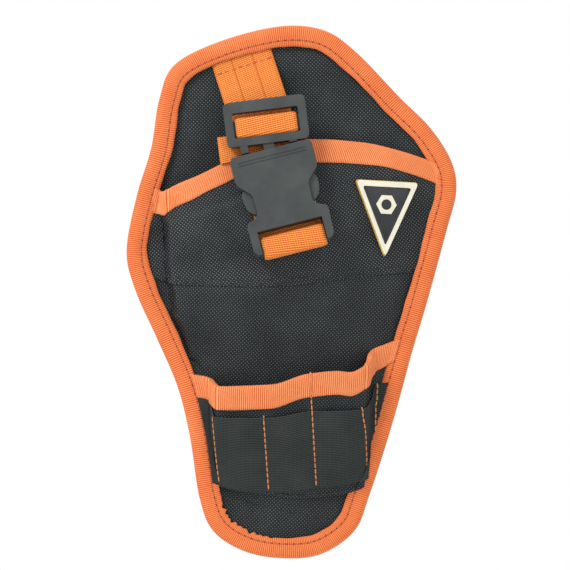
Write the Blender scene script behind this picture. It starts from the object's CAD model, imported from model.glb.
"""The looks of a fabric drill holster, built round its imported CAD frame.

Lengths in this script are millimetres in the outline's own frame: x to the right, z up from
the outline's middle, and y = 0 at the front face of the back panel, growing backward.
place() turns them into the row frame's metres. Colours are sRGB as they look on screen. The
sizes that the cloth was cut to, and a simulated sheet, are in metres.
"""
import math

import bmesh
import bpy
import numpy as np
from mathutils import Matrix, Vector


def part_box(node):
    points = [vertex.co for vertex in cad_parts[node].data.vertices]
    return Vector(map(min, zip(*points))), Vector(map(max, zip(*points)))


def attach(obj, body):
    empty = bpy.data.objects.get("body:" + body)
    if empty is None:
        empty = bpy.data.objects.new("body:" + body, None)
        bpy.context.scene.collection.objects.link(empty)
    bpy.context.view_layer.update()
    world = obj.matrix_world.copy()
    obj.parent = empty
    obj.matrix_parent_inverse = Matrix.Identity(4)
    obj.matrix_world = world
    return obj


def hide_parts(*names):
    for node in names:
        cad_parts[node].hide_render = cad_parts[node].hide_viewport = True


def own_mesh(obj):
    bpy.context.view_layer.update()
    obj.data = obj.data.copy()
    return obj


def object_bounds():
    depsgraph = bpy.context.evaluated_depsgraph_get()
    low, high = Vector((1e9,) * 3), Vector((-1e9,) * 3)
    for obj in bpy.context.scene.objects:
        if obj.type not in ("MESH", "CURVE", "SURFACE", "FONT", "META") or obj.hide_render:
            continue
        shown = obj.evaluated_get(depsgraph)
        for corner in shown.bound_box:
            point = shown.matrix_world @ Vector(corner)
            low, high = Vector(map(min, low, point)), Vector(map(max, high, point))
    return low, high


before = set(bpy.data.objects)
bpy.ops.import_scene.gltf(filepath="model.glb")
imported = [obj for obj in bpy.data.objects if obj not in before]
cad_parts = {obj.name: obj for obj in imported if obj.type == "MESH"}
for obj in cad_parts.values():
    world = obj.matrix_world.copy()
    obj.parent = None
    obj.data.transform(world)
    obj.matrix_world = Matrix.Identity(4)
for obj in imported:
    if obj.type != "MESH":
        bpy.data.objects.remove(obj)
CAD_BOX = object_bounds()

# ---------------------------------------------------------------- driving dimensions
FRONT_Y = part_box("back_face_fabric")[0][1] * 1000  # front face of the back panel, row frame
TUNNEL_Z = 95.0  # height of the belt tunnel, the row's origin, above the outline's middle
PANEL_BACK_Y = 3.6
FABRIC = 0.7
TAPE_WIDTH = 13.0
MOUTH_TAPE_WIDTH = 14.5
RIB_PITCH = 1.3
WEBBING = 1.3
WEBBING_WIDTH = 38.0
ALBEDO = 0.74  # the studio light is brighter than 1, so surfaces are darker than they look

OUTLINE = [
    (-7, 164.4), (20, 162), (40, 148.5), (67, 120.5), (86, 101.5), (99, 81), (102.2, 62),
    (96, 37), (84, -7), (75, -37), (62.6, -82), (48.5, -126), (39, -148.5), (18, -163),
    (-7, -165.4), (-30, -160.8), (-48.5, -148.5), (-57, -128), (-63, -90), (-70.5, -59.5),
    (-83, -30), (-96.5, 0), (-102.2, 25), (-96, 59), (-87, 89), (-82, 119), (-72.5, 140.5),
    (-44, 155.2),
]

stitch_draws = np.random.default_rng(7)


# ---------------------------------------------------------------- curves
class Curve:
    """A smooth function through hand-set (position, value) pairs, constant outside them."""

    def __init__(self, *knots):
        self.x = np.array([k[0] for k in knots], float)
        self.y = np.array([k[1] for k in knots], float)
        rise = np.diff(self.y) / np.diff(self.x)
        same = np.sign(rise[:-1]) * np.sign(rise[1:]) > 0
        mean = 2 * rise[:-1] * rise[1:] / np.where(same, rise[:-1] + rise[1:], 1)
        self.slope = np.r_[rise[0], np.where(same, mean, 0), rise[-1]]

    def __call__(self, position):
        p = np.clip(np.asarray(position, float), self.x[0], self.x[-1])
        i = np.clip(np.searchsorted(self.x, p, side="right") - 1, 0, len(self.x) - 2)
        width = self.x[i + 1] - self.x[i]
        t = (p - self.x[i]) / width
        a, b = self.y[i], self.y[i + 1]
        ma, mb = self.slope[i] * width, self.slope[i + 1] * width
        return (
            a * (2 * t**3 - 3 * t**2 + 1) + ma * (t**3 - 2 * t**2 + t)
            + b * (3 * t**2 - 2 * t**3) + mb * (t**3 - t**2)
        )


def smooth(value, low, high):
    t = np.clip((np.asarray(value, float) - low) / (high - low), 0, 1)
    return t * t * (3 - 2 * t)


def closed_curve(points, per_span=40):
    """A closed Catmull-Rom curve as dense points."""
    p = np.array(points, float)
    before, after, beyond = np.roll(p, 1, 0), np.roll(p, -1, 0), np.roll(p, -2, 0)
    t = np.linspace(0, 1, per_span, endpoint=False)[None, :, None]
    a, b, c, d = before[:, None], p[:, None], after[:, None], beyond[:, None]
    dense = 0.5 * (
        2 * b + (c - a) * t + (2 * a - 5 * b + 4 * c - d) * t**2
        + (3 * b - a - 3 * c + d) * t**3
    )
    return dense.reshape(-1, 2)


def even_closed(points, count):
    """Evenly spaced points round a closed line, with their distance from its start."""
    ring = np.vstack([points, points[:1]])
    steps = np.r_[0, np.cumsum(np.linalg.norm(np.diff(ring, axis=0), axis=1))]
    s = np.linspace(0, steps[-1], count, endpoint=False)
    return np.stack([np.interp(s, steps, ring[:, k]) for k in (0, 1)], axis=1), s, steps[-1]


OUTLINE_CURVE = closed_curve(OUTLINE)
_, _, OUTLINE_LENGTH = even_closed(OUTLINE_CURVE, 8)


def inset_outline(inset, count):
    """The outline moved inward by inset (a number or one per point)."""
    p, s, _ = even_closed(OUTLINE_CURVE, count)
    reach = max(2, count // 150)
    tangent = np.roll(p, -reach, 0) - np.roll(p, reach, 0)
    tangent /= np.linalg.norm(tangent, axis=1)[:, None]
    inward = np.stack([tangent[:, 1], -tangent[:, 0]], axis=1)
    return p + inward * np.reshape(inset, (-1, 1)), s


EDGE_CACHE = {}


def edge_x(z, inset, side):
    """The x of the inset outline's left (-1) or right (+1) edge at a height."""
    key = (inset, side)
    if key not in EDGE_CACHE:
        p, _ = inset_outline(inset, 900)
        low, high = np.argmin(p[:, 1]), np.argmax(p[:, 1])
        ring = np.roll(p, -low, 0)
        top = (high - low) % len(p)
        half = ring[: top + 1] if side < 0 else np.vstack([ring[top:], ring[:1]])[::-1]
        heights = np.maximum.accumulate(half[:, 1])
        EDGE_CACHE[key] = (heights, half[:, 0], p[low, 1] + 1.5)
    heights, xs, floor = EDGE_CACHE[key]
    return np.interp(np.maximum(z, floor), heights, xs)


def place(x, y, z):
    """Millimetres in the outline's frame to metres in the row frame."""
    x, y, z = np.broadcast_arrays(x, y, z)
    return np.stack([x, y + FRONT_Y, z - TUNNEL_Z], axis=-1) / 1000


# ---------------------------------------------------------------- mesh building
def new_object(name, vertices, faces, material, smooth_shading=True, attributes=None):
    mesh = bpy.data.meshes.new(name)
    mesh.from_pydata(np.asarray(vertices).reshape(-1, 3).tolist(), [], faces)
    for key, values in (attributes or {}).items():
        layer = mesh.attributes.new(key, "FLOAT", "POINT")
        layer.data.foreach_set("value", np.asarray(values, np.float32).ravel())
    mesh.polygons.foreach_set("use_smooth", [smooth_shading] * len(mesh.polygons))
    mesh.materials.append(material)
    obj = bpy.data.objects.new(name, mesh)
    bpy.context.scene.collection.objects.link(obj)
    fix_normals(obj)
    return obj


def fix_normals(obj):
    work = bmesh.new()
    work.from_mesh(obj.data)
    bmesh.ops.recalc_face_normals(work, faces=work.faces)
    work.to_mesh(obj.data)
    work.free()


def quads(rows, cols, wrap_rows=False, wrap_cols=False):
    i = np.arange(rows if wrap_rows else rows - 1)
    j = np.arange(cols if wrap_cols else cols - 1)
    a, b = np.meshgrid(i, j, indexing="ij")
    a2, b2 = (a + 1) % rows, (b + 1) % cols
    corners = [a * cols + b, a2 * cols + b, a2 * cols + b2, a * cols + b2]
    return np.stack(corners, axis=-1).reshape(-1, 4).tolist()


def ring_body(name, rings, material, closed=False, attributes=None):
    """A body from rings of points (count, ring, 3): a loop, or with its ends capped."""
    count, around = rings.shape[:2]
    faces = quads(count, around, wrap_rows=closed, wrap_cols=True)
    if not closed:
        half = around // 2
        for start in (0, (count - 1) * around):
            for j in range(half - 1):
                faces.append([start + j, start + j + 1,
                              start + around - 2 - j, start + around - 1 - j])
    return new_object(name, rings, faces, material, attributes=attributes)


def grid_normals(p):
    du = np.gradient(p, axis=0)
    dv = np.gradient(p, axis=1)
    n = np.cross(du, dv)
    n /= np.linalg.norm(n, axis=-1, keepdims=True) + 1e-12
    return n


def cloth_body(name, front, thickness, material, attributes=None):
    """A closed sheet behind a grid of front points: each column is one ring, front then back."""
    n = grid_normals(front)
    if n[..., 1].mean() > 0:
        n = -n
    back = front - n * thickness / 1000
    rings = np.concatenate([front, back[:, ::-1]], axis=1)
    both = {k: np.concatenate([v, v[:, ::-1]], axis=1) for k, v in (attributes or {}).items()}
    return ring_body(name, rings, material, attributes=both)


def join(name, objects):
    for obj in bpy.context.selected_objects:
        obj.select_set(False)
    for obj in objects:
        obj.select_set(True)
    bpy.context.view_layer.objects.active = objects[0]
    bpy.ops.object.join()
    objects[0].name = name
    return objects[0]


def finish_piece(obj, body, slot, *nodes):
    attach(obj, body)
    if nodes:
        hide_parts(*nodes)
    return obj


# ---------------------------------------------------------------- materials
class Shader:
    """A short way to wire a procedural material."""

    def __init__(self, name, roughness=0.6, specular=0.5, sheen=0.0):
        self.material = bpy.data.materials.new(name)
        self.material.use_nodes = True
        self.tree = self.material.node_tree
        self.tree.nodes.clear()
        self.out = self.tree.nodes.new("ShaderNodeOutputMaterial")
        self.bsdf = self.tree.nodes.new("ShaderNodeBsdfPrincipled")
        self.tree.links.new(self.bsdf.outputs[0], self.out.inputs[0])
        self.bsdf.inputs["Roughness"].default_value = roughness
        self.bsdf.inputs["Specular IOR Level"].default_value = specular
        if sheen:
            self.bsdf.inputs["Sheen Weight"].default_value = sheen
            self.bsdf.inputs["Sheen Roughness"].default_value = 0.4
        self.coord = self.tree.nodes.new("ShaderNodeTexCoord")

    def link(self, source, target):
        self.tree.links.new(source, target)
        return self

    def math(self, operation, a, b=None, c=None):
        node = self.tree.nodes.new("ShaderNodeMath")
        node.operation = operation
        for k, value in enumerate((a, b, c)):
            if value is None:
                continue
            if isinstance(value, (int, float)):
                node.inputs[k].default_value = value
            else:
                self.tree.links.new(value, node.inputs[k])
        return node.outputs[0]

    def axes(self, turn=0.0):
        """Object x and z in millimetres, turned in the plane of the front."""
        node = self.tree.nodes.new("ShaderNodeSeparateXYZ")
        self.tree.links.new(self.coord.outputs["Object"], node.inputs[0])
        x = self.math("MULTIPLY", node.outputs[0], 1000.0)
        y = self.math("MULTIPLY", node.outputs[1], 1000.0)
        z = self.math("MULTIPLY", node.outputs[2], 1000.0)
        if not turn:
            return x, y, z
        c, s = math.cos(turn), math.sin(turn)
        a = self.math("ADD", self.math("MULTIPLY", x, c), self.math("MULTIPLY", z, s))
        b = self.math("SUBTRACT", self.math("MULTIPLY", z, c), self.math("MULTIPLY", x, s))
        return a, y, b

    def noise(self, scale, detail=3.0, roughness=0.55):
        node = self.tree.nodes.new("ShaderNodeTexNoise")
        node.inputs["Scale"].default_value = scale
        node.inputs["Detail"].default_value = detail
        node.inputs["Roughness"].default_value = roughness
        self.tree.links.new(self.coord.outputs["Object"], node.inputs["Vector"])
        return node.outputs[0]

    def ramp(self, factor, *stops):
        node = self.tree.nodes.new("ShaderNodeValToRGB")
        ramp = node.color_ramp
        while len(ramp.elements) < len(stops):
            ramp.elements.new(0.5)
        for element, (position, color) in zip(ramp.elements, stops):
            element.position = position
            element.color = (*color, 1)
        self.tree.links.new(factor, node.inputs[0])
        return node.outputs[0]

    def mix(self, factor, a, b):
        node = self.tree.nodes.new("ShaderNodeMix")
        node.data_type = "RGBA"
        for value, index in ((factor, 0), (a, 6), (b, 7)):
            if isinstance(value, (int, float)):
                node.inputs[index].default_value = value
            elif isinstance(value, tuple):
                node.inputs[index].default_value = (*value, 1)
            else:
                self.tree.links.new(value, node.inputs[index])
        return node.outputs[2]

    def attribute(self, name):
        node = self.tree.nodes.new("ShaderNodeAttribute")
        node.attribute_name = name
        return node.outputs["Fac"]

    def bump(self, height, distance, strength=1.0):
        node = self.tree.nodes.new("ShaderNodeBump")
        node.inputs["Strength"].default_value = strength
        node.inputs["Distance"].default_value = distance
        self.tree.links.new(height, node.inputs["Height"])
        self.tree.links.new(node.outputs[0], self.bsdf.inputs["Normal"])
        return self

    def color(self, source):
        if isinstance(source, tuple):
            self.bsdf.inputs["Base Color"].default_value = (*source, 1)
        else:
            self.tree.links.new(source, self.bsdf.inputs["Base Color"])
        return self

    def rough(self, source):
        self.tree.links.new(source, self.bsdf.inputs["Roughness"])
        return self

    def weave(self, u, v, pitch):
        """Height of a plain weave: warp and weft threads cross over and under in turn."""
        a = self.math("DIVIDE", u, pitch)
        b = self.math("DIVIDE", v, pitch)
        arc = []
        for side in (a, b):
            inside = self.math("SUBTRACT", self.math("FRACT", side), 0.5)
            arc.append(self.math("COSINE", self.math("MULTIPLY", inside, math.pi)))
        floors = self.math("ADD", self.math("FLOOR", a), self.math("FLOOR", b))
        over = self.math("FLOORED_MODULO", floors, 2.0)
        crown = self.math("MULTIPLY", arc[0], arc[1])
        warp = self.math("POWER", crown, 0.6)
        return self.math("MULTIPLY", warp, self.math("MULTIPLY_ADD", over, 0.55, 0.45))


def srgb(r, g, b):
    """A colour as it looks on screen, 0 to 255, as the linear albedo that gives it here."""
    def linear(value):
        value /= 255
        return value / 12.92 if value <= 0.04045 else ((value + 0.055) / 1.055) ** 2.4
    return tuple(min(1.0, linear(v) * ALBEDO) for v in (r, g, b))


def ballistic(name, turn=0.0, light=1.0, pitch=1.15):
    """Coarse black ballistic nylon: bright thread crowns in a dark, slightly glossy ground."""
    s = Shader(name, roughness=0.45, specular=0.2)
    u, _, v = s.axes(turn)
    height = s.weave(u, v, pitch)
    patches = s.noise(38.0, 4.0)
    fine = s.noise(900.0, 2.0)
    lift = s.math("MULTIPLY_ADD", s.math("SUBTRACT", patches, 0.5), 0.5, height)
    low, mid, high = srgb(11, 13, 15), srgb(44, 49, 51), srgb(116 * light, 122 * light, 123 * light)
    s.color(s.ramp(s.math("MULTIPLY_ADD", s.math("SUBTRACT", fine, 0.5), 0.35, lift),
                   (0.1, low), (0.6, mid), (1.0, high)))
    s.rough(s.math("MULTIPLY_ADD", patches, 0.22, 0.4))
    s.bump(height, 0.00028, 0.9)
    return s.material


def grosgrain(name, base=(242, 122, 62), dark=(196, 74, 28), light=(255, 160, 104)):
    """Ribbed orange tape. The ribs are in the mesh; `rib` says how high a point stands."""
    s = Shader(name, roughness=0.62, specular=0.12, sheen=0.05)
    rib = s.attribute("rib")
    fine = s.noise(1500.0, 3.0)
    broad = s.noise(45.0, 3.0)
    level = s.math("MULTIPLY_ADD", s.math("SUBTRACT", fine, 0.5), 0.55, rib)
    level = s.math("MULTIPLY_ADD", s.math("SUBTRACT", broad, 0.5), 0.45, level)
    s.color(s.ramp(level, (0.0, srgb(*dark)), (0.45, srgb(*base)), (1.0, srgb(*light))))
    s.bump(fine, 0.00012, 0.7)
    return s.material


def webbing_material():
    """Orange webbing: fine slightly slanted ribs, with a darker line at each third where `lined`."""
    s = Shader("webbing_orange", roughness=0.5, specular=0.14, sheen=0.04)
    across = s.attribute("across")
    along = s.attribute("along")
    phase = s.math("MULTIPLY", s.math("MULTIPLY_ADD", across, 0.12, along), 2 * math.pi / 1.25)
    ribs = s.math("MULTIPLY_ADD", s.math("SINE", phase), 0.5, 0.5)
    threads = s.math("SINE", s.math("MULTIPLY", across, 2 * math.pi / 1.5))
    height = s.math("MULTIPLY_ADD", threads, 0.2, ribs)
    third = s.math("ABSOLUTE", s.math("SUBTRACT", s.math("ABSOLUTE", across), 6.6))
    groove = s.math("MULTIPLY", s.math("LESS_THAN", third, 0.45), s.attribute("lined"))
    fine = s.noise(1100.0, 3.0)
    level = s.math("MULTIPLY_ADD", s.math("SUBTRACT", fine, 0.5), 0.7, height)
    tint = s.ramp(level, (0.0, srgb(205, 88, 26)), (0.5, srgb(248, 134, 48)), (1.0, srgb(255, 172, 92)))
    s.color(s.mix(s.math("MULTIPLY", groove, 0.55), tint, srgb(196, 78, 22)))
    s.bump(s.math("SUBTRACT", height, s.math("MULTIPLY", groove, 0.8)), 0.00022, 0.9)
    return s.material


def elastic_material():
    s = Shader("elastic_black", roughness=0.75, specular=0.1, sheen=0.03)
    rib = s.attribute("rib")
    u, _, v = s.axes()
    threads = s.math("MULTIPLY_ADD", s.math("SINE", s.math("MULTIPLY", u, 2 * math.pi / 0.8)), 0.5, 0.5)
    broad = s.noise(50.0, 3.0)
    level = s.math("MULTIPLY_ADD", threads, 0.3, s.math("MULTIPLY", rib, 0.75))
    level = s.math("MULTIPLY_ADD", s.math("SUBTRACT", broad, 0.5), 0.4, level)
    s.color(s.ramp(level, (0.0, srgb(24, 28, 28)), (0.55, srgb(46, 51, 50)), (1.0, srgb(76, 82, 81))))
    s.bump(threads, 0.00008, 0.6)
    return s.material


def plastic_material():
    s = Shader("buckle_plastic", roughness=0.36, specular=0.32)
    grain = s.noise(1400.0, 2.0)
    broad = s.noise(60.0, 3.0)
    s.color(s.ramp(broad, (0.3, srgb(58, 62, 62)), (0.7, srgb(74, 78, 77))))
    s.rough(s.math("MULTIPLY_ADD", broad, 0.16, 0.36))
    s.bump(grain, 0.00006, 0.55)
    return s.material


def rubber_material(name, color, darker):
    s = Shader(name, roughness=0.45, specular=0.5)
    s.color(s.ramp(s.noise(120.0, 3.0), (0.3, srgb(*darker)), (0.7, srgb(*color))))
    s.bump(s.noise(1800.0, 2.0), 0.00004, 0.5)
    return s.material


def thread_material(name, color, dark):
    s = Shader(name, roughness=0.55, specular=0.4, sheen=0.2)
    twist = s.noise(2600.0, 2.0)
    s.color(s.ramp(twist, (0.3, srgb(*dark)), (0.65, srgb(*color))))
    s.bump(twist, 0.0001, 0.8)
    return s.material


def lining_material():
    s = Shader("lining_cloth", roughness=0.75, specular=0.3, sheen=0.1)
    u, _, v = s.axes(0.05)
    height = s.weave(u, v, 0.8)
    s.color(s.ramp(height, (0.1, srgb(20, 22, 24)), (0.9, srgb(52, 56, 58))))
    s.bump(height, 0.00012, 0.8)
    return s.material


def foam_material():
    s = Shader("foam_grey", roughness=0.95, specular=0.2)
    cells = s.noise(1500.0, 4.0)
    s.color(s.ramp(cells, (0.3, srgb(70, 72, 74)), (0.7, srgb(110, 112, 114))))
    s.bump(cells, 0.0002, 0.8)
    return s.material


WEAVE_PANEL = ballistic("ballistic_panel", 0.03, 0.95)
WEAVE_UPPER = ballistic("ballistic_pocket_upper", 0.12, 1.0)
WEAVE_LOWER = ballistic("ballistic_pocket_lower", -0.06, 0.85)
WEAVE_LOOP = ballistic("ballistic_belt_loop", 0.02, 0.8)
TAPE = grosgrain("grosgrain_orange")
MOUTH_TAPE = grosgrain("grosgrain_mouth", (246, 134, 76), (204, 84, 36), (255, 178, 124))
WEB = webbing_material()
ELASTIC = elastic_material()
PLASTIC = plastic_material()
GOLD = rubber_material("badge_gold", (232, 190, 70), (206, 158, 44))
CREAM = rubber_material("badge_cream", (247, 243, 222), (232, 226, 200))
FIELD = rubber_material("badge_field", (34, 38, 42), (24, 27, 30))
THREAD_ORANGE = thread_material("thread_orange", (240, 158, 96), (196, 104, 48))
THREAD_TAPE = thread_material("thread_tape", (226, 104, 48), (178, 70, 26))
THREAD_BLACK = thread_material("thread_black", (34, 37, 40), (14, 15, 17))
HOLE = thread_material("needle_hole", (96, 30, 8), (54, 16, 4))
LINING = lining_material()
FOAM = foam_material()


# ---------------------------------------------------------------- shapes of the cloth shells
INNER = TAPE_WIDTH + 0.6
MOUTH_TOP = Curve(
    (-92, 66.8), (-87, 65.6), (-83.0, 64.2), (-79.6, 61.6), (-77.4, 61.4), (-74, 64),
    (-56.5, 71.8), (-40.5, 79.7), (-14, 92.4), (12, 94), (42.5, 92), (63.7, 87.7),
    (84.5, 81.3), (95, 78),
)
SEAM = Curve((-95, 14.5), (-70, 7.6), (-28.7, 5.9), (0, 6.6), (23.8, 9.9), (80, 15.6))
SHELL_BOTTOM = -160.0
PLEAT_X = Curve((-165, -30), (-110, -48), (-60, -62), (-35, -68), (5, -74), (60, -78))
PLEAT_DEPTH = Curve((-75, 0), (-50, 1.2), (-25, 5.5), (0, 10.5), (35, 14), (60, 14), (86, 12))
BULGE_DEPTH = Curve(
    (-150, 0), (-125, 3.6), (-80, 8.6), (-40, 12), (0, 14.6), (25, 14.4), (60, 9.8), (94, 4.4),
)
SHELL_REST = Curve((25, 0.3), (48, 1.4))

ACCESSORY_TOP = Curve(
    (-66, -51.0), (-56, -52.0), (-50, -53.6), (-47, -56.6), (-44.5, -58.3), (-32.6, -57.9),
    (-12, -56.9), (10.6, -50.4), (28.3, -48.8), (36, -49.4), (43, -46.6), (46.5, -43.2),
    (48.2, -38.2), (51, -35.2), (58, -32.6), (66, -29.6),
)
ACCESSORY_BOTTOM = Curve((-56, -116), (-47, -120.5), (-20, -125), (5, -128), (30, -126), (50, -119))
ACCESSORY_LIFT = Curve((-128, 0.4), (-112, 3.4), (-85, 9.5), (-55, 12.5), (-40, 13))
LEFT_FOLD = Curve((-119, -45), (-77, -47.5), (-50, -47))
RIGHT_FOLD = Curve((-119, 44.0), (-77, 46.0), (-50, 47.4))
ELASTIC_TOP = Curve(
    (-56, -65), (-50, -67.5), (-46, -77.2), (-16, -77.4), (11.6, -73.2), (43, -72.4),
    (48, -67), (52, -57.4), (60, -56.4),
)
ELASTIC_BOTTOM = Curve((-56, -114.5), (-46, -119.4), (-15, -123.4), (15, -120.6), (46, -116.2), (50, -113))

# Soft folds in the main pocket's cloth: (x0, z0, x1, z1, half width, height).
FOLDS = [
    (-66, 40, -30, 12, 7, 0.9), (-70, -2, -58, -44, 5, 1.0), (-26, 2, -30, -52, 8, 0.9),
    (28, 8, 40, -40, 12, 0.8), (-46, 56, -26, 20, 6, -0.8), (20, 50, 60, 22, 9, -0.6),
    (60, 4, 66, -20, 6, 0.7), (-8, 2, -4, -44, 7, -0.6), (24, 84, 40, 80, 6, 0.5),
    (-62, 4, -20, -2, 5, 0.5), (12, 5, 70, 8, 5, 0.4), (-20, -140, 10, -150, 6, 0.5),
]


def crease(x, z, x0, z0, x1, z1, half, height):
    dx, dz = x1 - x0, z1 - z0
    length = dx * dx + dz * dz
    t = np.clip(((x - x0) * dx + (z - z0) * dz) / length, 0, 1)
    away = np.hypot(x - x0 - t * dx, z - z0 - t * dz)
    ends = np.sin(np.pi * np.clip(t * 0.94 + 0.03, 0, 1)) ** 0.6
    return height * np.exp(-((away / half) ** 2)) * ends


def fold_x(z):
    return np.maximum(PLEAT_X(z), edge_x(z, INNER, -1) + 3.5)


def pocket_depth(x, z):
    """How far the main pocket's cloth stands off the back panel."""
    fold = fold_x(z)
    right = edge_x(z, INNER, 1)
    share = np.clip((right - x) / np.maximum(right - fold, 1), 0, 1)
    rise = smooth(x, fold - 2.6, fold + 2.2)
    body = PLEAT_DEPTH(z) * share + 4 * BULGE_DEPTH(z) * share * (1 - share)
    folds = 1.4 * sum(crease(x, z, *f) for f in FOLDS)
    inside = smooth(share, 0, 0.12) * rise * smooth(z, -152, -140)
    return SHELL_REST(z) + rise * body + folds * inside


def accessory_folds(z):
    return (
        np.maximum(LEFT_FOLD(z), edge_x(z, INNER, -1) + 2.2),
        RIGHT_FOLD(z),
    )


def accessory_depth(x, z):
    left, right = accessory_folds(z)
    rise = smooth(x, left - 2.4, left + 2.4)
    fall = 1 - smooth(x, right - 2.4, right + 3.2)
    sag = 0.8 * np.sin((x + 10) / 9.0) * smooth(z, -70, -50)
    return pocket_depth(x, z) + 1.9 + (ACCESSORY_LIFT(z) + sag) * rise * fall


def on_shell(depth, x, z, offset):
    """A point at `offset` in front of a shell, along the shell's own normal."""
    step = 0.4
    dx = (depth(x + step, z) - depth(x - step, z)) / (2 * step)
    dz = (depth(x, z + step) - depth(x, z - step)) / (2 * step)
    size = np.sqrt(dx * dx + dz * dz + 1)
    y = -depth(x, z)
    return place(x - dx / size * offset, y - offset / size, z - dz / size * offset)


def pocket_column(u, z):
    """The x at share u of the way across the main pocket; the pleat gets a share of its own."""
    fold = fold_x(z)
    marks = [0, 0.05, 0.08, 0.22, 0.95, 1]
    stops = [edge_x(z, 2.2, -1), edge_x(z, INNER, -1), fold - 3, fold + 3,
             edge_x(z, INNER, 1), edge_x(z, 2.2, 1)]
    return across(u, marks, stops)


def accessory_column(u, z):
    left, right = accessory_folds(z)
    marks = [0, 0.04, 0.12, 0.86, 0.94, 1]
    stops = [edge_x(z, 9.8, -1), left - 2.6, left + 2.6, right - 2.6, right + 3.4,
             edge_x(z, 9.4, 1)]
    return across(u, marks, stops)


def across(u, marks, stops):
    x = np.zeros(np.broadcast(u, stops[0]).shape)
    for k in range(len(marks) - 1):
        t = (u - marks[k]) / (marks[k + 1] - marks[k])
        inside = (u >= marks[k]) & (u <= marks[k + 1])
        x = np.where(inside, stops[k] + (stops[k + 1] - stops[k]) * t, x)
    return x


def lattice(column, low, high, columns, rows):
    """x and z of a grid of columns between a low line and a high line."""
    u = np.linspace(0, 1, columns)[:, None] + np.zeros((1, rows))
    t = np.zeros((columns, 1)) + np.linspace(0, 1, rows)[None, :]
    z = low(0.0) + (high(0.0) - low(0.0)) * t
    for _ in range(8):
        x = column(u, z)
        z = low(x) + (high(x) - low(x)) * t
    return x, z


# ---------------------------------------------------------------- back panel
def panel_sheet(name, y, crown, material, toward):
    """One face of the padded back panel: it puffs a little inside the binding."""
    rows, cols = 150, 110
    t = (1 - np.cos(np.linspace(0, math.pi, rows))) / 2
    z = (-163 + (162 + 163) * t)[None, :] + np.zeros((cols, 1))
    u = np.linspace(0, 1, cols)[:, None]
    left, right = edge_x(z, 3.0, -1), edge_x(z, 3.0, 1)
    x = left + (right - left) * u
    margin = np.minimum(np.minimum(x - left, right - x), np.minimum(162 - z, z + 163))
    puff = smooth(margin, 7, 26)
    wave = 0.25 * np.sin(x / 17 + 0.6) * np.sin(z / 23 + 1.1)
    front = place(x, y + toward * (crown + wave) * puff, z)
    return cloth_body(name, front, 0.6 if toward < 0 else -0.6, material)


face = panel_sheet("panel_face", -0.15, 0.9, WEAVE_PANEL, -1)
finish_piece(face, "holster", "ballistic_weave", "back_face_fabric")
lining = panel_sheet("panel_lining", PANEL_BACK_Y + 0.1, 0.8, LINING, 1)
finish_piece(lining, "holster", "lining", "back_lining")


def set_material(node, material):
    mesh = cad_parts[node].data
    mesh.materials.clear()
    mesh.materials.append(material)


set_material("back_foam", FOAM)


# ---------------------------------------------------------------- edge binding
STITCH_INSET = 9.2


def binding_section():
    """(inset, y) round the outside of the folded tape, from the front edge to the back edge."""
    front = [(13.0, -2.9), (12.7, -3.35), (11.6, -3.7), (10.2, -3.85), (9.2, -3.8), (8.2, -4.0),
             (6.4, -4.3), (4.2, -4.25), (2.2, -3.7), (0.9, -2.7), (0.2, -1.2), (0.0, 0.2)]
    back = [(0.2, 1.7), (0.9, 3.1), (2.2, 4.1), (4.4, 4.6), (7.0, 4.7), (9.2, 4.35), (11.4, 4.4),
            (12.7, 4.15), (13.0, 3.9)]
    return front + back


def edge_binding():
    ribs = round(OUTLINE_LENGTH / RIB_PITCH)
    count = ribs * 4
    outer = binding_section()
    inner = [(max(q, 0.8) if q < 12.6 else q, y * 0.78 + 0.05) for q, y in outer][::-1]
    s = even_closed(OUTLINE_CURVE, count)[1]
    phase = 2 * math.pi * s / (OUTLINE_LENGTH / ribs)
    rib = 0.5 + 0.5 * np.cos(phase)
    wobble = 0.35 * np.sin(s / 19.0) + 0.22 * np.sin(s / 7.3 + 1) + 0.14 * np.sin(s / 2.9 + 2)
    base = inset_outline(0, count)[0]
    toe = smooth(-base[:, 1], 124, 138) * smooth(-base[:, 0], 8, 24)
    wobble = wobble + toe * (0.9 * np.sin(s / 1.9) * np.sin(s / 5.3) + 0.5 * np.sin(s / 0.9))
    rings, shade = [], []
    for k, (q, y) in enumerate(outer + inner):
        on_face = k < len(outer)
        edge = max(0.0, (q - 10.5) / 2.5)
        lift = 0.14 if on_face else 0.0
        away = np.array([q - 3.2, y])
        away = away / (np.linalg.norm(away) + 1e-9) if q < 3.2 else np.array([0, np.sign(y - 0.2)])
        height = (rib - 0.5) * 2 * lift
        inset = q + wobble * edge + height * away[0]
        p, _ = inset_outline(inset, count)
        rings.append(place(p[:, 0], y + height * away[1], p[:, 1]))
        shade.append(rib if on_face else rib * 0)
    return ring_body(
        "edge_tape", np.stack(rings, axis=1), TAPE, closed=True,
        attributes={"rib": np.stack(shade, axis=1)},
    )


finish_piece(edge_binding(), "holster", "grosgrain_tape", "edge_binding")


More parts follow.
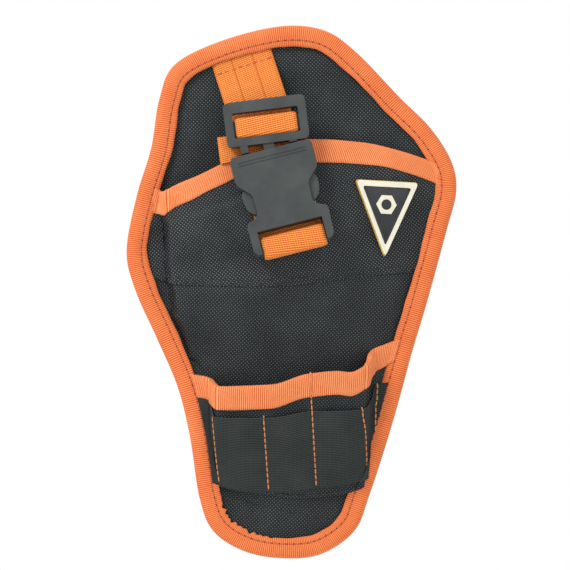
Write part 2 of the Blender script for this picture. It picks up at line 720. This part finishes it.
def wrinkled(front, growth, cap, calm=0.0, every=3):
    """Cloth simulation of a pinned sheet cut slightly too large, so that it wrinkles itself.

    calm is the share of the sheet, from its top, that lies under a tape and stays smooth.
    """
    cols = np.unique(np.r_[np.arange(0, front.shape[0], every), front.shape[0] - 1])
    rows = np.unique(np.r_[np.arange(0, front.shape[1], every), front.shape[1] - 1])
    coarse = front[np.ix_(cols, rows)]
    mesh = bpy.data.meshes.new("sim")
    mesh.from_pydata(coarse.reshape(-1, 3).tolist(), [], quads(len(cols), len(rows)))
    sheet = bpy.data.objects.new("sim", mesh)
    bpy.context.scene.collection.objects.link(sheet)
    index = np.arange(len(cols) * len(rows)).reshape(len(cols), len(rows))
    border = np.unique(np.r_[index[:2].ravel(), index[-2:].ravel(), index[:, 0], index[:, -1]])
    pins = sheet.vertex_groups.new(name="pins")
    pins.add(border.tolist(), 1.0, "REPLACE")
    cloth = sheet.modifiers.new("cloth", "CLOTH")
    settings = cloth.settings
    settings.vertex_group_mass = "pins"
    settings.quality = 6
    settings.mass = 0.2
    settings.tension_stiffness = 25
    settings.compression_stiffness = 25
    settings.bending_stiffness = 0.8
    settings.shrink_min = -growth
    settings.shrink_max = -growth
    settings.effector_weights.gravity = 0
    cloth.collision_settings.use_self_collision = False
    cloth.point_cache.frame_start = 1
    cloth.point_cache.frame_end = 20
    scene = bpy.context.scene
    for step in range(1, 21):
        scene.frame_set(step)
    result = sheet.evaluated_get(bpy.context.evaluated_depsgraph_get()).to_mesh()
    moved = np.zeros(len(result.vertices) * 3)
    result.vertices.foreach_get("co", moved)
    shift = moved.reshape(coarse.shape) - coarse
    size = np.linalg.norm(shift, axis=-1, keepdims=True)
    shift *= np.minimum(1, cap / 1000 / (size + 1e-9))
    bpy.data.objects.remove(sheet)
    scene.frame_set(1)
    wide = np.arange(front.shape[0])
    tall = np.arange(front.shape[1])
    full = np.zeros(front.shape)
    for k in range(3):
        half = np.stack([np.interp(wide, cols, shift[:, j, k]) for j in range(len(rows))], axis=1)
        full[..., k] = np.stack([np.interp(tall, rows, half[i]) for i in range(len(wide))])
    u = wide[:, None] / wide[-1]
    t = tall[None, :] / tall[-1]
    free = smooth(u, 0, 0.1) * (1 - smooth(u, 0.9, 1)) * smooth(t, 0.2, 0.32)
    free = free * (1 - smooth(t, 0.92 - calm, 1 - calm))
    return front + full * free[..., None]


# ---------------------------------------------------------------- main pocket
def pocket_shell(name, low, high, rows, material, extra=0.0, calm=0.0):
    x, z = lattice(pocket_column, low, high, 190, rows)
    front = wrinkled(on_shell(pocket_depth, x, z, FABRIC + extra), 0.012, 1.2, calm)
    return cloth_body(name, front, FABRIC, material)


upper = pocket_shell("main_pocket_upper", lambda x: SEAM(x) - 3.0, lambda x: MOUTH_TOP(x) - 1.2, 80,
                     WEAVE_UPPER, extra=0.75, calm=0.3)
finish_piece(upper, "holster", "ballistic_weave", "pocket_upper_panel")
lower = pocket_shell("main_pocket_lower", lambda x: SHELL_BOTTOM + 0 * x, lambda x: SEAM(x) + 3.5, 150,
                     WEAVE_LOWER)
finish_piece(lower, "holster", "ballistic_weave", "pocket_lower_panel")


def mouth_tape(name, column, depth, top, first, last, length, width=MOUTH_TAPE_WIDTH):
    """A ribbed tape folded over a pocket's mouth."""
    ribs = round(length / RIB_PITCH)
    count = ribs * 4 + 1
    u = np.linspace(first, last, count)
    level = np.zeros(count)
    for _ in range(8):
        x = column(u, level)
        level = top(x)
    line = np.stack([x, -depth(x, level), level], axis=1)
    s = np.r_[0, np.cumsum(np.linalg.norm(np.diff(line, axis=0), axis=1))]
    rib = 0.5 + 0.5 * np.cos(2 * math.pi * s / RIB_PITCH)
    front = FABRIC + 0.75
    section = [(-width, front + 0.35), (-width + 0.3, front + 0.75), (-width + 2.2, front + 0.75),
               (-width + 3.4, front + 0.6), (-width * 0.5, front + 0.95), (-2.0, front + 1.0),
               (-0.7, front + 0.75), (-0.1, front + 0.1), (0.05, front - 0.6), (-0.1, -0.5),
               (-0.8, -1.0), (-4, -1.15), (-width, -1.0)]
    inner = [(-width, -0.35), (-width * 0.5, -0.4), (-1.2, -0.2), (-0.9, front - 0.4),
             (-1.6, front + 0.1), (-width * 0.5, front + 0.1), (-width + 0.2, front)]
    wave = 0.25 * np.sin(s / 11) + 0.12 * np.sin(s / 4.1 + 1)
    rings, shade = [], []
    for k, (drop, offset) in enumerate(section + inner):
        on_face = k < len(section)
        swell = (rib - 0.5) * (0.26 if on_face else 0)
        z = level + drop + wave * (1 if drop < -width + 1 else 0.3)
        x = column(u, z)
        sign = -1 if offset < 0 else 1
        rings.append(on_shell(depth, x, z, offset + swell * sign))
        shade.append(rib if on_face else rib * 0)
    return ring_body(name, np.stack(rings, axis=1), MOUTH_TAPE,
                     attributes={"rib": np.stack(shade, axis=1)})


finish_piece(
    mouth_tape("main_mouth_tape", pocket_column, pocket_depth, MOUTH_TOP, 0.03, 0.97, 205),
    "holster", "grosgrain_tape", "pocket_mouth_binding",
)


# ---------------------------------------------------------------- accessory pocket
def accessory_panel():
    x, z = lattice(accessory_column, ACCESSORY_BOTTOM, lambda x: ACCESSORY_TOP(x) - 1.2, 170, 90)
    front = on_shell(accessory_depth, x, z, FABRIC)
    return cloth_body("accessory_pocket_cloth", front, FABRIC, WEAVE_LOWER)


finish_piece(accessory_panel(), "holster", "ballistic_weave", "accessory_pocket_panel")
finish_piece(
    mouth_tape("accessory_mouth_tape", accessory_column, accessory_depth, ACCESSORY_TOP, 0.0, 1.0, 150),
    "holster", "grosgrain_tape", "accessory_pocket_binding",
)

# Stitch lines across the elastic: (x, z) at the top and at the bottom.
ELASTIC_LINES = [
    ((-47.0, -77.1), (-43.5, -119.5)), ((-17, -75.6), (-14, -122.9)),
    ((11.1, -48.6), (15.1, -119.5)), ((43.1, -70.8), (45.6, -116.5)), ((52.4, -57), (52, -85)),
]


def line_x(line, z):
    (x0, z0), (x1, z1) = line
    return x0 + (x1 - x0) * (z - z0) / (z1 - z0)


def elastic_offset(x, z):
    """The elastic lies on the pocket at the stitch lines and arches a little between them."""
    stops = [line_x(line, z) for line in ELASTIC_LINES[:4]]
    arch = 0
    for a, b in zip(stops, stops[1:]):
        share = np.clip((x - a) / (b - a), 0, 1)
        arch = arch + 2.4 * (4 * share * (1 - share)) ** 0.8
    return FABRIC + 0.35 + arch


def elastic_band():
    ribs = 44
    rows = ribs * 4 + 1
    x, z = lattice(accessory_column, ELASTIC_BOTTOM, ELASTIC_TOP, 150, rows)
    rib = 0.5 + 0.5 * np.cos(2 * math.pi * np.linspace(0, ribs, rows))[None, :] + 0 * x
    front = on_shell(accessory_depth, x, z, elastic_offset(x, z) + 0.75 + rib * 0.12)
    return cloth_body("elastic_loops", front, 0.7, ELASTIC, {"rib": rib})


finish_piece(elastic_band(), "holster", "elastic", "elastic_band")


# ---------------------------------------------------------------- stitches
def capsule(sides=6, steps=4):
    """A unit stitch along +X: a thread that rises out of the cloth and dips back in."""
    points, faces = [], []
    for i in range(steps + 1):
        a = math.pi * i / steps
        along, radius = -math.cos(a), max(math.sin(a) ** 0.6, 0.12)
        for j in range(sides):
            b = 2 * math.pi * j / sides
            points.append((along * 0.5, radius * math.cos(b) * 0.5, radius * math.sin(b) * 0.5))
    for i in range(steps):
        for j in range(sides):
            k = (j + 1) % sides
            faces.append((i * sides + j, (i + 1) * sides + j, (i + 1) * sides + k, i * sides + k))
    faces.append(tuple(range(sides)))
    faces.append(tuple(steps * sides + j for j in range(sides))[::-1])
    return np.array(points), faces


CAPSULE_POINTS, CAPSULE_FACES = capsule()


def beads(name, centres, directions, normals, size, material, jitter=0.0):
    """Copies of the unit stitch, each with its own centre and direction (metres)."""
    length, width, height = (v / 1000 for v in size)
    vertices, faces = [], []
    for k, (centre, along, up) in enumerate(zip(centres, directions, normals)):
        along = along / (np.linalg.norm(along) + 1e-12)
        up = up - along * float(np.dot(up, along))
        up = up / (np.linalg.norm(up) + 1e-12)
        side = np.cross(up, along)
        if jitter:
            along = along + side * stitch_draws.normal(0, jitter)
        p = CAPSULE_POINTS
        world = (centre + p[:, :1] * along * length + p[:, 1:2] * side * width
                 + p[:, 2:] * up * height)
        base = len(vertices) * len(p)
        vertices.append(world)
        faces += [[base + i for i in f] for f in CAPSULE_FACES]
    return new_object(name, np.concatenate(vertices), faces, material)


def along_path(points, pitch, start=0.0):
    """Evenly spaced centres and directions along a line of points (metres)."""
    points = np.asarray(points)
    s = np.r_[0, np.cumsum(np.linalg.norm(np.diff(points, axis=0), axis=1))]
    at = np.arange(start + pitch / 2, s[-1], pitch)
    sample = lambda v: np.stack([np.interp(v, s, points[:, k]) for k in range(3)], axis=1)
    return sample(at), sample(at + pitch * 0.3) - sample(at - pitch * 0.3)


def shell_line(depth, xs, zs, offset, steps=200):
    """A line over a shell through hand-set (x, z) points."""
    t = np.linspace(0, 1, len(xs))
    fine = np.linspace(0, 1, steps)
    x, z = np.interp(fine, t, xs), np.interp(fine, t, zs)
    lift = offset(x, z) if callable(offset) else offset
    base = on_shell(depth, x, z, lift)
    up = on_shell(depth, x, z, lift + 1.0) - base
    return base, up


def stitch_line(name, depth, xs, zs, offset, material, slot, size=(3.3, 0.9, 0.7), pitch=3.9):
    base, up = shell_line(depth, xs, zs, offset)
    centres, directions = along_path(base, pitch / 1000)
    nearest = np.linspace(0, len(up) - 1, len(centres)).astype(int)
    obj = beads(name, centres, directions, up[nearest], size, material, 0.03)
    return finish_piece(obj, "holster", slot)


def edge_stitches():
    """The row of stitches that holds the edge binding, with needle holes between them."""
    pitch = 5.0
    count = round(OUTLINE_LENGTH / pitch)
    made = []
    for face_y, up_y in ((-3.98, -1.0), (4.5, 1.0)):
        p, _ = inset_outline(STITCH_INSET, count * 2)
        centres = place(p[::2, 0], face_y, p[::2, 1])
        ahead = np.roll(p, -1, 0)[::2] - np.roll(p, 1, 0)[::2]
        directions = np.stack([ahead[:, 0], 0 * ahead[:, 0], ahead[:, 1]], axis=1)
        ups = np.tile([0, up_y, 0], (len(centres), 1))
        made.append(beads("t", centres, directions, ups, (3.9, 0.75, 0.6), THREAD_TAPE, 0.06))
        holes = place(p[1::2, 0], face_y + up_y * 0.02, p[1::2, 1])
        made.append(beads("h", holes, directions, ups, (0.95, 0.9, 0.5), HOLE))
    return finish_piece(join("edge_stitches", made), "holster", "grosgrain_tape")


edge_stitches()
THREAD_OVER_TAPE = 2  # the middle thread starts on the small pocket's tape


def over_elastic(x, z):
    return np.where(z > ELASTIC_TOP(x), FABRIC + 0.3, elastic_offset(x, z) + 0.95)


def over_tape(x, z):
    return np.where(z > ACCESSORY_TOP(x) - MOUTH_TAPE_WIDTH, FABRIC + 1.9, over_elastic(x, z))


for k, line in enumerate(ELASTIC_LINES):
    (x0, z0), (x1, z1) = line
    zs = np.linspace(z0, z1, 60)
    lift = over_tape if k == THREAD_OVER_TAPE else over_elastic
    stitch_line(f"loop_stitches_{k + 1}", accessory_depth, line_x(line, zs), zs, lift,
                THREAD_ORANGE, "grosgrain_tape", size=(3.4, 1.05, 0.8), pitch=3.8)

for name, shift in (("seam_stitches_upper", 1.2), ("seam_stitches_lower", -1.6)):
    xs = np.linspace(edge_x(10.0, INNER, -1) + 3, edge_x(12.0, INNER, 1) - 1, 80)
    stitch_line(name, pocket_depth, xs, SEAM(xs) + shift, FABRIC + 0.85, THREAD_BLACK,
                "ballistic_weave", size=(2.6, 0.6, 0.5), pitch=3.2)
xs = np.linspace(-44, 42, 60)
stitch_line("accessory_bottom_stitches", accessory_depth, xs, ACCESSORY_BOTTOM(xs) + 2.2,
            FABRIC + 0.1, THREAD_BLACK, "ballistic_weave", size=(2.6, 0.7, 0.5), pitch=3.2)
stitch_line("toe_dart_stitches", pocket_depth, [-42.5, -12, 19.4, 33.3],
            [-127.5, -134.5, -141.1, -137.2], FABRIC + 0.1, THREAD_BLACK,
            "ballistic_weave", size=(2.6, 0.7, 0.5), pitch=3.2)


# ---------------------------------------------------------------- webbing
def smooth_path(points, steps):
    p = np.array(points, float)
    t = np.r_[0, np.cumsum(np.linalg.norm(np.diff(p, axis=0), axis=1))]
    curves = [Curve(*zip(t, p[:, k])) for k in range(p.shape[1])]
    fine = np.linspace(0, t[-1], steps)
    return np.stack([c(fine) for c in curves], axis=1), fine


def ribbon(name, path, width, thickness, matrix, material=None, steps=90, shift=0.0, cross=17,
           lined=0.0):
    """Webbing along a path of (z, y) points, centred on x = shift in a local frame."""
    line, s = smooth_path(path, steps)
    along = np.gradient(line, axis=0)
    along /= np.linalg.norm(along, axis=1)[:, None]
    side = np.stack([-along[:, 1], along[:, 0]], axis=1)
    xs = np.linspace(-width / 2, width / 2, cross)
    rings, wide, far = [], [], []
    for direction in (1, -1):
        for x in xs[:: direction]:
            edge = max(0.0, (abs(x) - width / 2 + 1.2) / 1.2)
            half = thickness / 2 * math.sqrt(max(1 - edge * edge, 0.02))
            offset = line + side * half * direction
            rings.append(np.stack([np.full(len(s), x + shift), offset[:, 1], offset[:, 0]], axis=1))
            wide.append(np.full(len(s), x))
            far.append(s)
    local = np.stack(rings, axis=1).reshape(-1, 3)
    world = (local @ np.array(matrix)[:3, :3].T + np.array(matrix)[:3, 3]) / 1000
    world = world.reshape(len(s), -1, 3)
    wide, far = np.stack(wide, axis=1), np.stack(far, axis=1)
    return ring_body(name, world, material or WEB,
                     attributes={"across": wide, "along": far, "lined": wide * 0 + lined})


def local_frame(origin, turn, lean=0.0):
    """A frame turned in the plane of the front, then leaned back, in row millimetres."""
    x, y, z = origin
    return (Matrix.Translation((x, y + FRONT_Y, z - TUNNEL_Z))
            @ Matrix.Rotation(math.radians(lean), 4, "X")
            @ Matrix.Rotation(math.radians(turn), 4, "Y"))


BUCKLE = local_frame((-13.25, -19.4, 86.1), -14.4, -8.2)
MALE = BUCKLE @ Matrix.Translation((2.05, 0, 17.85)) @ Matrix.Rotation(math.radians(7.1), 4, "Y")
TOP_STRAP = local_frame((-30.4, 0, 143.4), -17.8)
MID_Y = -5.5

top_strap = ribbon("top_webbing", [(9, -1.2), (2, -1.5), (-5, -2.9), (-12, -5.7), (-19, -8.9),
                                   (-27, -11.2), (-37, -13.1), (-46, -14.4)],
                   WEBBING_WIDTH, WEBBING, TOP_STRAP, lined=1.0)
finish_piece(top_strap, "holster", "webbing", "top_strap")
strap_row = np.linspace(-16, 16, 8)
row_centres = [np.array(TOP_STRAP @ Vector((x, -3.35, -4.0))) / 1000 for x in strap_row]
row_along = [np.array(TOP_STRAP.to_3x3() @ Vector((1, 0, 0)))] * len(strap_row)
row_stitches = beads("top_strap_stitches", row_centres, row_along, [np.array([0, -1.0, 0])] * 8,
                     (3.2, 0.9, 0.6), THREAD_TAPE)
finish_piece(row_stitches, "holster", "webbing")
for piece in (top_strap, row_stitches):
    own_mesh(piece)

wrap_path = [(-2.5, 2.6), (2.2, 2.4), (3.4, 1.2), (3.5, -0.2), (3.2, -1.6), (1.8, -2.6),
             (-2.5, -2.75), (-6.8, -2.6), (-8.2, -1.6), (-8.5, -0.2), (-8.3, 1.2), (-7, 2.4),
             (-3.2, 2.6)]
wrap = ribbon("bar_webbing", [(z, y + MID_Y) for z, y in wrap_path], WEBBING_WIDTH, WEBBING,
              MALE, steps=120)
finish_piece(wrap, "buckle_male", "webbing", "strap_wrap")

tail = ribbon("webbing_tail", [(-5, 0.95), (-13, 1.0), (-21.5, 0.9)], WEBBING_WIDTH, 1.2, MALE, shift=-12,
              steps=60)
finish_piece(tail, "buckle_male", "webbing", "strap_tail")

lower_path = [
    (-9, 1.0), (-20, 1.0), (-35, 1.0), (-50, 1.0), (-58, 0.7), (-61.8, -0.8), (-64.3, -2.8),
    (-65.3, -5.5), (-64.6, -7.9), (-62, -9.0), (-58.5, -9.3), (-55, -8.9), (-53.0, -7.7),
    (-52.3, -5.5), (-53.1, -3.2), (-55.2, -2.4), (-57.5, -2.4),
]
lower_strap = ribbon("lower_webbing", lower_path, WEBBING_WIDTH + 1.4, WEBBING, BUCKLE, steps=200)
finish_piece(lower_strap, "holster", "webbing", "lower_strap")


# ---------------------------------------------------------------- buckle and badge
def round_edges(node, width, material):
    """Softens the edges of a CAD piece and gives it its material."""
    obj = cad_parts[node]
    set_material(node, material)
    weld = obj.modifiers.new("weld", "WELD")
    weld.merge_threshold = 0.00002
    flat = obj.modifiers.new("flat", "DECIMATE")
    flat.decimate_type = "DISSOLVE"
    flat.angle_limit = math.radians(2)
    bevel = obj.modifiers.new("bevel", "BEVEL")
    bevel.width = width / 1000
    bevel.segments = 3
    bevel.limit_method = "ANGLE"
    bevel.angle_limit = math.radians(30)
    bevel.use_clamp_overlap = True
    return obj


for node, width in (("buckle_female", 1.1), ("buckle_male_frame", 1.0), ("prong_left", 0.8),
                    ("prong_right", 0.8)):
    round_edges(node, width, PLASTIC)
round_edges("badge_base", 0.4, GOLD)


def badge_field():
    """The dark field inside the badge's raised border."""
    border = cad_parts["badge_border"].data
    points = np.array([v.co for v in border.vertices])
    centre = points.mean(axis=0)
    axes = np.linalg.svd(points - centre, full_matrices=False)[2]
    normal = axes[2] * (-1 if axes[2][1] > 0 else 1)
    right = np.cross(normal, [0, 0, 1])
    right /= np.linalg.norm(right)
    if right[0] < 0:
        right = -right
    up = np.cross(right, normal) * (1 if np.cross(right, normal)[2] > 0 else -1)
    flat = np.stack([(points - centre) @ right, (points - centre) @ up], axis=1)
    out = []
    for reach, level in ((0.80, -0.55), (0.80, -0.1), (0.72, 0.0)):
        hull = []
        for angle in np.linspace(0, 2 * math.pi, 72, endpoint=False):
            way = np.array([math.cos(angle), math.sin(angle)])
            hull.append(way * (flat @ way).max())
        dense = support_outline(hull) * reach
        out.append(centre + dense[:, :1] * right + dense[:, 1:] * up + normal * level / 1000)
    return ring_body("badge_field", np.stack(out), FIELD)


def support_outline(hull):
    """The convex outline that a ring of support distances describes."""
    lines = np.array(hull)
    out = []
    for a, b in zip(lines, np.roll(lines, -1, axis=0)):
        m = np.array([a / np.linalg.norm(a), b / np.linalg.norm(b)])
        out.append(np.linalg.solve(m, [np.linalg.norm(a), np.linalg.norm(b)]))
    return np.array(out)


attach(badge_field(), "holster")
round_edges("badge_border", 0.35, CREAM)
round_edges("badge_emblem", 0.3, CREAM)


# ---------------------------------------------------------------- belt loop
def belt_loop():
    near, far = PANEL_BACK_Y + 1.1, PANEL_BACK_Y + 9.2
    half = [(45, near), (38, near), (32, near + 0.1), (29.5, near + 1.6), (27.5, near + 4.4),
            (25.5, far - 1.2), (22.5, far), (14, far)]
    path = half + [(0, far)] + [(-z, y) for z, y in half][::-1]
    matrix = local_frame((0, 0, 95.0), 0)
    return ribbon("belt_loop_cloth", path, 60, 1.6, matrix, WEAVE_LOOP, steps=160, cross=31)


finish_piece(belt_loop(), "holster", "ballistic_weave", "belt_loop")


def belt_loop_stitches():
    """Two rows of thread across each end of the belt loop."""
    xs = np.arange(-27, 28, 3.2)
    rows = [place(xs, PANEL_BACK_Y + 1.95, TUNNEL_Z + z) for z in (-43, -39, 39, 43)]
    centres = np.concatenate(rows)
    along = np.tile([1.0, 0, 0], (len(centres), 1))
    up = np.tile([0, 1.0, 0], (len(centres), 1))
    return beads("belt_loop_stitches", centres, along, up, (2.6, 0.7, 0.5), THREAD_BLACK, 0.03)


finish_piece(belt_loop_stitches(), "holster", "ballistic_weave")


# ---------------------------------------------------------------- stage
def stage():
    bpy.ops.mesh.primitive_circle_add(vertices=96, radius=0.62, fill_type="NGON",
                                      location=(0, 0, CAD_BOX[0][2] - 0.13))
    floor = bpy.context.object
    floor.name = "floor"
    s = Shader("floor_pale", roughness=0.8, specular=0.2)
    s.color(s.ramp(s.noise(3.0), (0.3, (0.86, 0.86, 0.85)), (0.7, (0.9, 0.9, 0.89))))
    floor.data.materials.append(s.material)

    world = bpy.data.worlds.new("studio")
    world.use_nodes = True
    world.node_tree.nodes["Background"].inputs[0].default_value = (1, 1, 1, 1)
    world.node_tree.nodes["Background"].inputs[1].default_value = 1.0
    bpy.context.scene.world = world
    lamps = (("key", (-0.9, -0.9, 1.1), 20, 0.5), ("fill", (0.9, -1.4, 0.1), 3, 0.9),
             ("rim", (0.3, 1.2, 0.8), 8, 0.8))
    for name, location, power, size in lamps:
        light = bpy.data.lights.new(name, "AREA")
        light.energy = power
        light.size = size
        lamp = bpy.data.objects.new(name, light)
        lamp.location = location
        aim = Vector((0, 0, -0.09)) - Vector(location)
        lamp.rotation_euler = aim.to_track_quat("-Z", "Y").to_euler()
        bpy.context.scene.collection.objects.link(lamp)


def camera():
    """A long lens straight in front: 351.7 mm of the object's plane across the frame."""
    distance, across_frame = 2.6, 0.3517
    data = bpy.data.cameras.new("camera")
    data.sensor_width = 36
    data.lens = 36 * distance / across_frame
    cam = bpy.data.objects.new("camera", data)
    cam.location = (-0.004, -distance - 0.02, (4.0 - TUNNEL_Z) / 1000)
    cam.rotation_euler = (math.radians(90), 0, 0)
    bpy.context.scene.collection.objects.link(cam)
    bpy.context.scene.camera = cam
    bpy.context.scene.view_settings.view_transform = "Standard"


stage()
camera()
